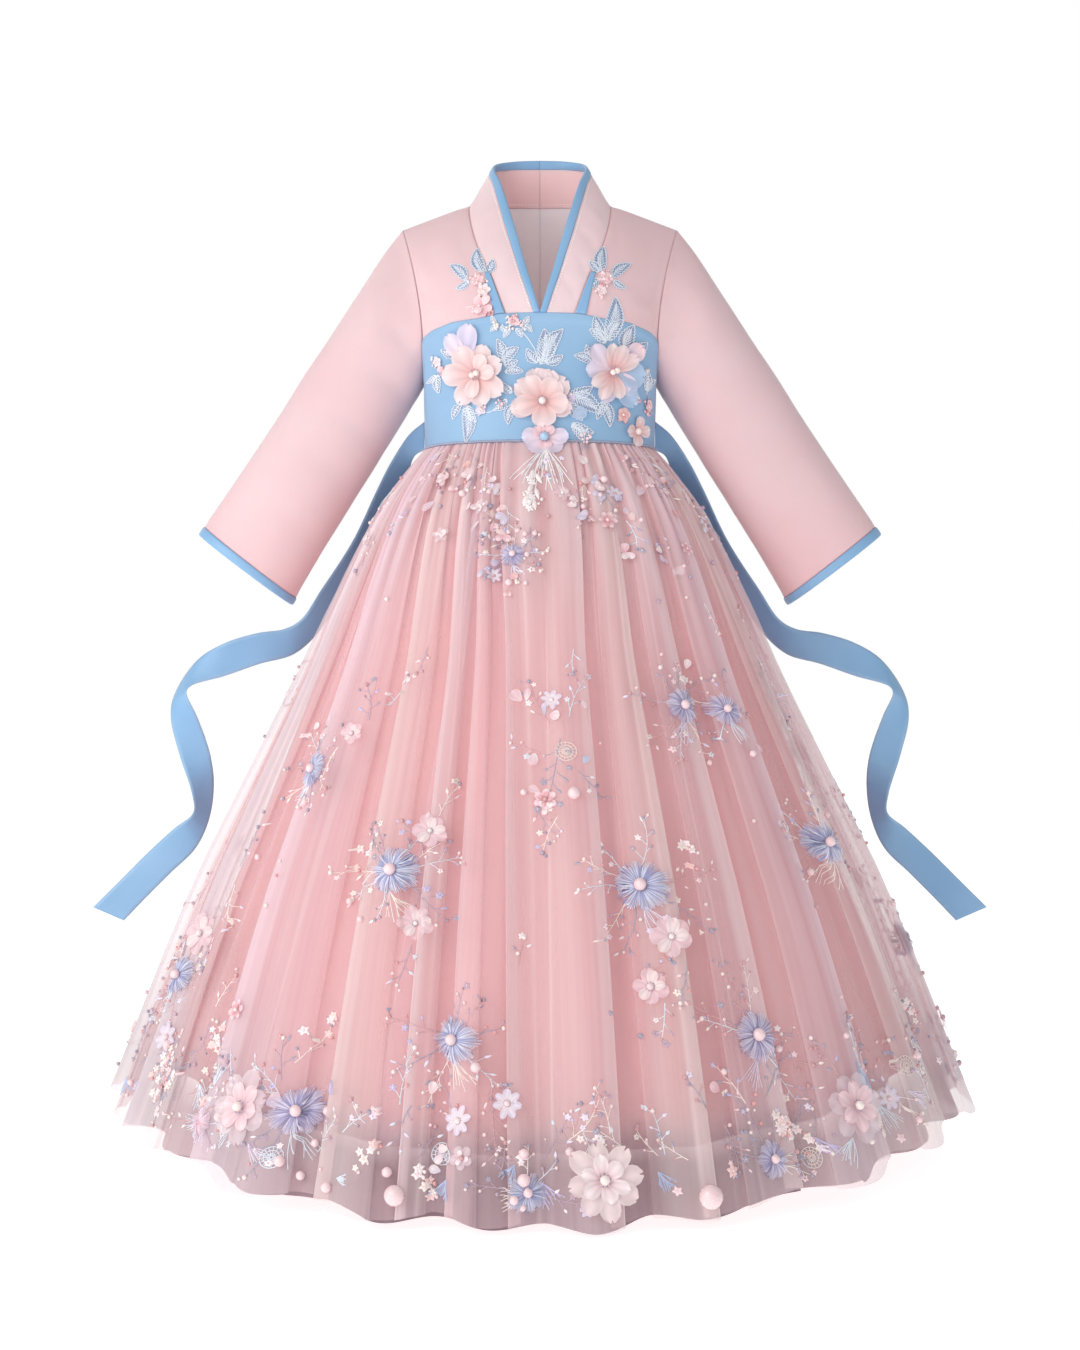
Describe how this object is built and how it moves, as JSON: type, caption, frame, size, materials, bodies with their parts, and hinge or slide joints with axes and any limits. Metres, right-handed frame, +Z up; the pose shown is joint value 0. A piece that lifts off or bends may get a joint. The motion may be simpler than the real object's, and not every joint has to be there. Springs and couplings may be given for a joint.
{
  "type": "child's hanfu dress",
  "caption": "Hollow child's hanfu dress: stand collar meeting in a V, slanting sleeves, chest band, side ties and a full gathered tulle skirt over a shorter lining.",
  "frame": {"origin": "midway between the two points where the neck meets the shoulders, at the height of the shoulder seams", "axes": "+Z up along the standing wearer, -Y out of the front of the dress, +X towards the wearer's left"},
  "size_m": [0.87, 0.7993, 0.9269],
  "materials": {
    "pink_cloth": "matt woven polyester, fine plain weave, soft sheen",
    "band_cloth": "smooth satin-backed cloth",
    "blue_satin": "soft ribbon satin",
    "tulle": "fine see-through net, pink going to lavender and peach",
    "under_tulle": "fine see-through net",
    "lining": "smooth coral satin",
    "petal_organza": "stiff see-through organza",
    "lace_thread": "twisted rayon thread with a silver gleam",
    "beads": "pearl lustre"
  },
  "bodies": {
    "root": {"collar_right": "pink_cloth", "neck_binding_right": "blue_satin", "collar_left": "pink_cloth", "neck_binding_left": "blue_satin", "bodice_front_right": "pink_cloth", "bodice_back_right": "pink_cloth", "collar_strap_right": "blue_satin", "bodice_front_left": "pink_cloth", "bodice_back_left": "pink_cloth", "collar_strap_left": "blue_satin", "chest_band_front": "band_cloth", "chest_band_back_right": "band_cloth", "chest_band_back_left": "band_cloth", "sleeve_right": "pink_cloth", "cuff_binding_right": "blue_satin", "sleeve_left": "pink_cloth", "cuff_binding_left": "blue_satin", "skirt_tulle_outer": "tulle", "skirt_tulle_under": "under_tulle", "skirt_lining": "lining", "sash_right": "blue_satin", "sash_left": "blue_satin", "flower_chest_right": "petal_organza", "flower_chest_middle": "petal_organza", "flower_chest_low": "petal_organza", "flower_chest_left": "petal_organza", "flower_waist_left": "petal_organza", "flower_hem_right": "petal_organza", "flower_hem_middle": "petal_organza", "flower_hem_left": "petal_organza", "flower_skirt_side": "petal_organza", "flower_skirt_upper": "petal_organza", "flower_skirt_right": "petal_organza", "flower_skirt_left": "petal_organza"}
  },
  "joints": []
}
